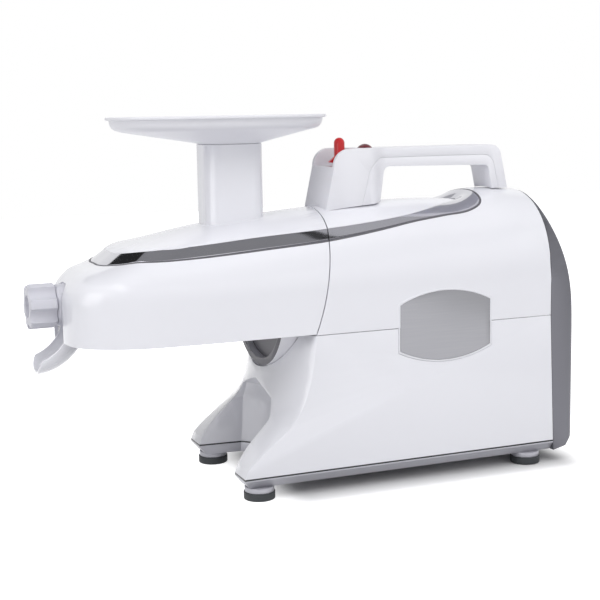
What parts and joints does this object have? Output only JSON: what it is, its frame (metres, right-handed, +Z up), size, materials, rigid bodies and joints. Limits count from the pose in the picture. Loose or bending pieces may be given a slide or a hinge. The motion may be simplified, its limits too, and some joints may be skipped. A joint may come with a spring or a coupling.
{
  "type": "twin gear juicer",
  "caption": "Countertop twin gear juicer: long body with carry handle, lift-off hood with feed chute and oval tray, twin gears, pulp outlet and geared motor.",
  "frame": {"origin": "middle of the whole machine's footprint, on the surface that the feet stand on", "axes": "+X to the rear of the machine, away from the outlet knob; +Y to its far side; +Z up"},
  "size_m": [0.476, 0.1506, 0.318],
  "materials": {
    "white_gloss": "gloss white moulded shell",
    "white_satin": "satin white moulding",
    "grey_knob": "satin light grey moulding",
    "silver_grey": "silver grey metallic paint, satin",
    "badge_silver": "bare satin silver plate",
    "band_chrome": "dark chrome plated trim",
    "red_lever": "gloss red moulding",
    "dark_red": "gloss dark red button",
    "foot_rubber": "charcoal rubber",
    "foot_metal": "satin silver post",
    "dark_plastic": "dark grey moulding",
    "black_plastic": "black moulding",
    "gear_steel": "machined steel",
    "zinc_steel": "zinc plated screws and pins",
    "stator_iron": "stacked iron sheets",
    "copper_wire": "enamelled copper windings",
    "cast_alloy": "die cast alloy",
    "bush_bronze": "sintered bronze",
    "chamber_white": "white food safe moulding"
  },
  "bodies": {
    "base": {"body_upper_shell": "white_gloss", "body_crown": "white_gloss", "body_chrome": "band_chrome", "base_shell": "white_gloss", "base_plate": "silver_grey", "foot_pads": "foot_rubber", "foot_posts": "foot_metal", "foot_screws": "zinc_steel", "rear_cover": "silver_grey", "cover_screws": "zinc_steel", "handle_outer": "white_satin", "handle_inner": "white_satin", "lever_pin": "zinc_steel", "badge_plates": "badge_silver", "badge_rims": "white_gloss", "juicing_housing": "chamber_white", "juice_screen": "gear_steel", "gear_bushes": "bush_bronze", "clamp_collar": "white_satin", "collar_backing": "dark_plastic", "shaft_seal": "foot_rubber", "pulp_outlet": "white_gloss", "motor_stator": "stator_iron", "stator_windings": "copper_wire", "motor_front_shield": "cast_alloy", "motor_rear_shield": "cast_alloy", "motor_bearings": "gear_steel", "motor_cradle": "cast_alloy", "gearbox_case": "cast_alloy", "gearbox_lid": "cast_alloy", "gearbox_bushes": "bush_bronze", "motor_spacers": "zinc_steel", "gearbox_stand": "cast_alloy", "run_capacitor": "dark_plastic", "switch_body": "black_plastic", "mains_inlet": "black_plastic"},
    "hood": {"hood_shell": "white_gloss", "hood_crown": "white_gloss", "hood_chrome": "band_chrome"},
    "tray": {"hopper_tray": "white_satin"},
    "rotor": {"motor_rotor": "gear_steel", "cooling_fan": "black_plastic"},
    "mid_shaft": {"mid_gear": "gear_steel"},
    "output": {"output_shaft": "gear_steel", "drive_gear": "gear_steel"},
    "idle": {"idle_gear": "gear_steel"},
    "knob": {"outlet_knob": "grey_knob"},
    "plug": {"outlet_plug": "chamber_white"},
    "lever": {"lock_lever": "red_lever"},
    "button": {"button_cap": "dark_red", "button_spring": "zinc_steel"},
    "rocker": {"switch_rocker": "black_plastic"}
  },
  "joints": [
    {"name": "rotor_spin", "type": "hinge", "parent": "base", "child": "rotor", "pos_m": [0.12, 0, 0.095], "axis": [1, 0, 0], "continuous": true},
    {"name": "mid_spin", "type": "hinge", "parent": "base", "child": "mid_shaft", "pos_m": [0.04, 0.00667, 0.1319], "axis": [1, 0, 0], "continuous": true},
    {"name": "output_spin", "type": "hinge", "parent": "base", "child": "output", "pos_m": [0.03, -0.017, 0.1666], "axis": [1, 0, 0], "continuous": true},
    {"name": "idle_spin", "type": "hinge", "parent": "base", "child": "idle", "pos_m": [-0.1, 0.017, 0.1666], "axis": [1, 0, 0], "continuous": true},
    {"name": "knob_turn", "type": "hinge", "parent": "base", "child": "knob", "pos_m": [-0.227, 0, 0.1666], "axis": [1, 0, 0], "range_deg": [0, 360]},
    {"name": "plug_slide", "type": "slide", "parent": "base", "child": "plug", "axis": [1, 0, 0], "range_m": [0, 0.0041]},
    {"name": "lever_tilt", "type": "hinge", "parent": "base", "child": "lever", "pos_m": [0.0416, 0, 0.261], "axis": [0, -1, 0], "range_deg": [0, 12]},
    {"name": "button_press", "type": "slide", "parent": "base", "child": "button", "axis": [0, 0, -1], "range_m": [0, 0.002], "stiffness_N_per_m": 200, "springref_m": -0.003},
    {"name": "rocker_tilt", "type": "hinge", "parent": "base", "child": "rocker", "pos_m": [0.231, -0.026, 0.058], "axis": [0, -1, 0], "range_deg": [0, 14]},
    {"name": "hood_lift", "type": "slide", "parent": "base", "child": "hood", "axis": [0, 0, 1], "range_m": [0, 0.12]},
    {"name": "tray_lift", "type": "slide", "parent": "hood", "child": "tray", "axis": [0, 0, 1], "range_m": [0, 0.08]}
  ],
  "couplings": [
    {"joint": "mid_spin", "follows": "rotor_spin", "ratio": -0.25},
    {"joint": "output_spin", "follows": "rotor_spin", "ratio": 0.083333},
    {"joint": "idle_spin", "follows": "rotor_spin", "ratio": -0.083333},
    {"joint": "plug_slide", "follows": "knob_turn", "m_per_rad": 0.00063662}
  ]
}
